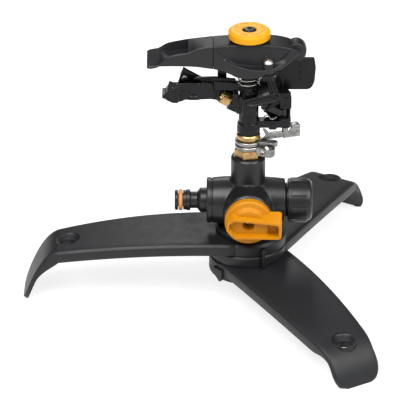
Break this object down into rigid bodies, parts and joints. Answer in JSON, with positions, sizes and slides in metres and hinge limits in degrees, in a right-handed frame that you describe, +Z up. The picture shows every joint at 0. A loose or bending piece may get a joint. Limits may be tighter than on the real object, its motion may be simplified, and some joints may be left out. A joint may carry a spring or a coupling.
{
  "type": "impact sprinkler",
  "caption": "Impact sprinkler head on a brass bearing and valved water manifold, carried by a folding three-legged stand with peg holes.",
  "frame": {"origin": "middle of the hub's flat underside, on the axis that the head spins about; the feet reach 21.5 mm below it", "axes": "+Z up along the spin axis, -X toward the hose inlet, +X toward the capped outlet, -Y toward the valve handle"},
  "size_m": [0.2763, 0.3037, 0.2257],
  "materials": {
    "leg_plastic": "matte moulded plastic, fine texture",
    "black_plastic": "satin black moulded plastic",
    "orange_plastic": "glossy orange moulded plastic",
    "brass": "turned brass, lightly dulled",
    "steel": "bright plated steel",
    "rubber": "black rubber",
    "amber_rubber": "amber rubber"
  },
  "bodies": {
    "stand": {"top_leg": "leg_plastic", "base_cap": "leg_plastic", "spindle_nut": "steel", "leg_spindle": "steel", "friction_washer_1": "steel", "friction_washer_2": "steel", "friction_washer_3": "steel", "pedestal": "black_plastic", "manifold_body": "black_plastic", "inlet_collar": "black_plastic", "inlet_nipple": "black_plastic", "inlet_o_ring": "amber_rubber", "inlet_gasket": "rubber", "inlet_screen": "steel", "outlet_gasket": "rubber", "valve_bonnet": "black_plastic", "valve_stem_ring": "rubber", "bearing_nipple": "brass", "lower_washer": "rubber", "upper_washer": "steel", "dust_seal": "rubber"},
    "rear_stand_leg": {"rear_leg": "leg_plastic"},
    "front_stand_leg": {"front_leg": "leg_plastic"},
    "valve": {"valve_handle": "orange_plastic", "valve_plug": "black_plastic", "handle_screw": "steel"},
    "cap": {"outlet_cap": "black_plastic"},
    "lower_stop": {"lower_stop_collar": "steel"},
    "upper_stop": {"upper_stop_collar": "steel"},
    "head": {"head_body": "black_plastic", "jet_nozzle": "brass", "bearing_sleeve": "brass", "pivot_pin": "steel", "hammer_spring": "steel", "top_shell": "black_plastic", "shell_screw": "steel", "diffuser_bracket": "black_plastic", "trip_pin": "steel", "toggle_spring": "steel"},
    "hammer": {"hammer_arm": "black_plastic", "hammer_bush": "brass"},
    "dial": {"range_dial": "orange_plastic", "dial_spindle": "black_plastic"},
    "deflector": {"deflector_arm": "black_plastic"},
    "trip": {"trip_lever": "steel"},
    "reverser": {"reverse_arm": "black_plastic"},
    "breakup": {"breakup_screw": "steel"}
  },
  "joints": [
    {"name": "rear_leg_fold", "type": "hinge", "parent": "stand", "child": "rear_stand_leg", "pos_m": [0, 0, 0], "axis": [0, 0, 1], "range_deg": [0, 120]},
    {"name": "front_leg_fold", "type": "hinge", "parent": "stand", "child": "front_stand_leg", "pos_m": [0, 0, 0], "axis": [0, 0, -1], "range_deg": [0, 120]},
    {"name": "valve_turn", "type": "hinge", "parent": "stand", "child": "valve", "pos_m": [0, -0.03, 0.0593], "axis": [0, -1, 0], "range_deg": [0, 90]},
    {"name": "cap_turn", "type": "hinge", "parent": "stand", "child": "cap", "pos_m": [0.04, 0, 0.0593], "axis": [1, 0, 0], "range_deg": [0, 360]},
    {"name": "lower_stop_turn", "type": "hinge", "parent": "stand", "child": "lower_stop", "pos_m": [0, 0, 0.1075], "axis": [0, 0, 1], "continuous": true},
    {"name": "upper_stop_turn", "type": "hinge", "parent": "stand", "child": "upper_stop", "pos_m": [0, 0, 0.111], "axis": [0, 0, 1], "continuous": true},
    {"name": "head_spin", "type": "hinge", "parent": "stand", "child": "head", "pos_m": [0, 0, 0.1185], "axis": [0, 0, 1], "continuous": true},
    {"name": "hammer_swing", "type": "hinge", "parent": "head", "child": "hammer", "pos_m": [0, 0, 0.1545], "axis": [0, 0, 1], "range_deg": [0, 60], "stiffness_Nm_per_rad": 0.01, "springref_deg": -20.05},
    {"name": "dial_turn", "type": "hinge", "parent": "head", "child": "dial", "pos_m": [0, 0, 0.2005], "axis": [0, 0, 1], "range_deg": [0, 270]},
    {"name": "deflector_tilt", "type": "hinge", "parent": "head", "child": "deflector", "pos_m": [-0.0271, 0, 0.1765], "axis": [0, -1, 0], "range_deg": [0, 11]},
    {"name": "trip_swing", "type": "hinge", "parent": "head", "child": "trip", "pos_m": [0.028, 0.0005, 0.1185], "axis": [0, 0, 1], "range_deg": [-12, 12]},
    {"name": "reverse_swing", "type": "hinge", "parent": "head", "child": "reverser", "pos_m": [0.028, 0.0005, 0.1355], "axis": [0, 0, 1], "range_deg": [-12, 12]},
    {"name": "breakup_travel", "type": "slide", "parent": "head", "child": "breakup", "axis": [0, -1, 0], "range_m": [0, 0.003]}
  ],
  "couplings": [
    {"joint": "deflector_tilt", "follows": "dial_turn", "ratio": 0.04},
    {"joint": "reverse_swing", "follows": "trip_swing", "ratio": -1}
  ]
}
